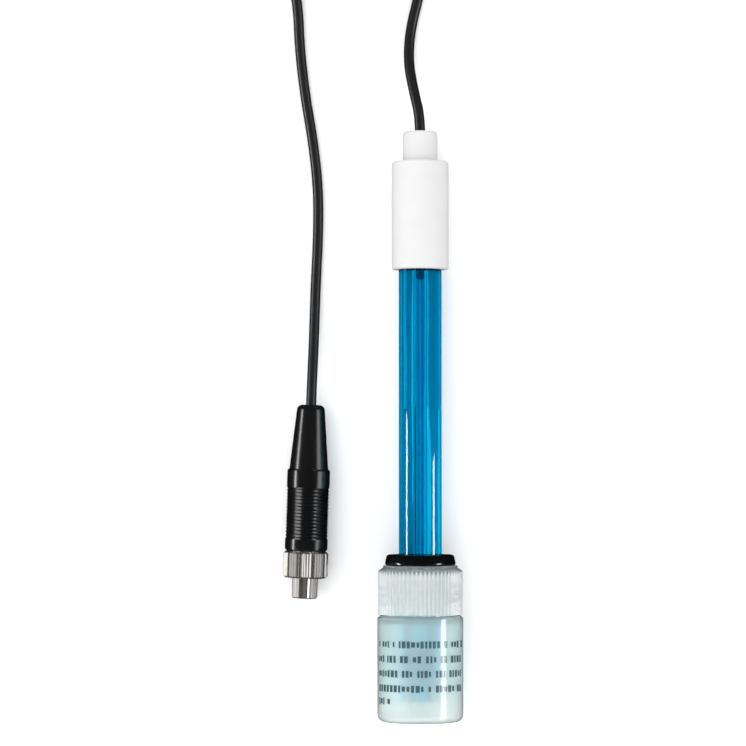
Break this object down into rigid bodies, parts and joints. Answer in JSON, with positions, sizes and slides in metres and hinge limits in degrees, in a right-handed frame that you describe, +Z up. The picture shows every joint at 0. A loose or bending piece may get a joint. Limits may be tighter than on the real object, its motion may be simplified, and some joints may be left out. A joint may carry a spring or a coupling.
{
  "type": "redox electrode",
  "caption": "Combination redox electrode: clear blue shaft, white head and screw-neck storage bottle, with its lead and a plug that has a knurled nut.",
  "frame": {"origin": "on the bench, under the centre of the electrode's box, measured without the lead and its plug", "axes": "+Y along the electrode from the bottle to the head, +X to the side away from the plug, +Z up from the bench"},
  "size_m": [0.0524, 0.2533, 0.0252],
  "materials": {
    "white_plastic": "satin moulded",
    "black_rubber": "satin",
    "tinned_wire": "bright",
    "resin": "gloss",
    "blue_clear": "clear tinted",
    "clear_glass": "clear",
    "grey_rubber": "matt",
    "silver_wire": "drawn",
    "platinum": "polished",
    "porous_ceramic": "porous",
    "frosted_bottle": "frosted, soft",
    "frosted_cap": "frosted, ribbed",
    "ring_rubber": "glossy",
    "black_plastic": "satin",
    "nickel": "plated",
    "white_insulator": "smooth",
    "spring_steel": "bright",
    "lead_jacket": "satin",
    "tie_strap": "matt"
  },
  "bodies": {
    "electrode": {"electrode_head": "white_plastic", "cable_bushing": "black_rubber", "cable_core": "tinned_wire", "head_potting": "resin", "body_tube": "blue_clear", "glass_stem": "clear_glass", "top_plug": "resin", "sensor_lead": "tinned_wire", "reference_wire": "silver_wire", "platinum_tip": "platinum", "junction_plug": "porous_ceramic", "tip_bushing": "grey_rubber", "plug_boot": "black_rubber", "plug_sleeve": "black_plastic", "plug_ferrule": "nickel", "plug_lead": "tinned_wire", "plug_barrel": "nickel", "plug_insulator": "white_insulator", "plug_pin": "nickel", "nut_clip": "spring_steel", "cable_head_run": "lead_jacket", "cable_plug_run": "lead_jacket", "cable_coil": "lead_jacket", "coil_tie": "tie_strap"},
    "bottle": {"bottle": "frosted_bottle"},
    "gasket": {"neck_gasket": "grey_rubber"},
    "ring": {"stop_ring": "ring_rubber"},
    "cap": {"bottle_cap": "frosted_cap"},
    "nut": {"coupling_nut": "nickel"}
  },
  "joints": [
    {"name": "bottle_pull", "type": "slide", "parent": "electrode", "child": "bottle", "axis": [0, -0.9994, 0.0336], "range_m": [0, 0.12]},
    {"name": "cap_slide", "type": "slide", "parent": "bottle", "child": "gasket", "axis": [0, 0.9994, -0.0336], "range_m": [0, 0.07]},
    {"name": "cap_rise", "type": "slide", "parent": "gasket", "child": "ring", "axis": [0, 0.9994, -0.0336], "range_m": [0, 0.004]},
    {"name": "cap_turn", "type": "hinge", "parent": "ring", "child": "cap", "pos_m": [0, -0.05272, 0.01225], "axis": [0, 0.9994, -0.0336], "range_deg": [0, 720]},
    {"name": "nut_turn", "type": "hinge", "parent": "electrode", "child": "nut", "pos_m": [-0.03213, -0.03533, 0.0063], "axis": [-0.0346, -0.9994, 0], "continuous": true}
  ],
  "couplings": [
    {"joint": "cap_rise", "follows": "cap_turn", "m_per_rad": 0.00031831}
  ]
}
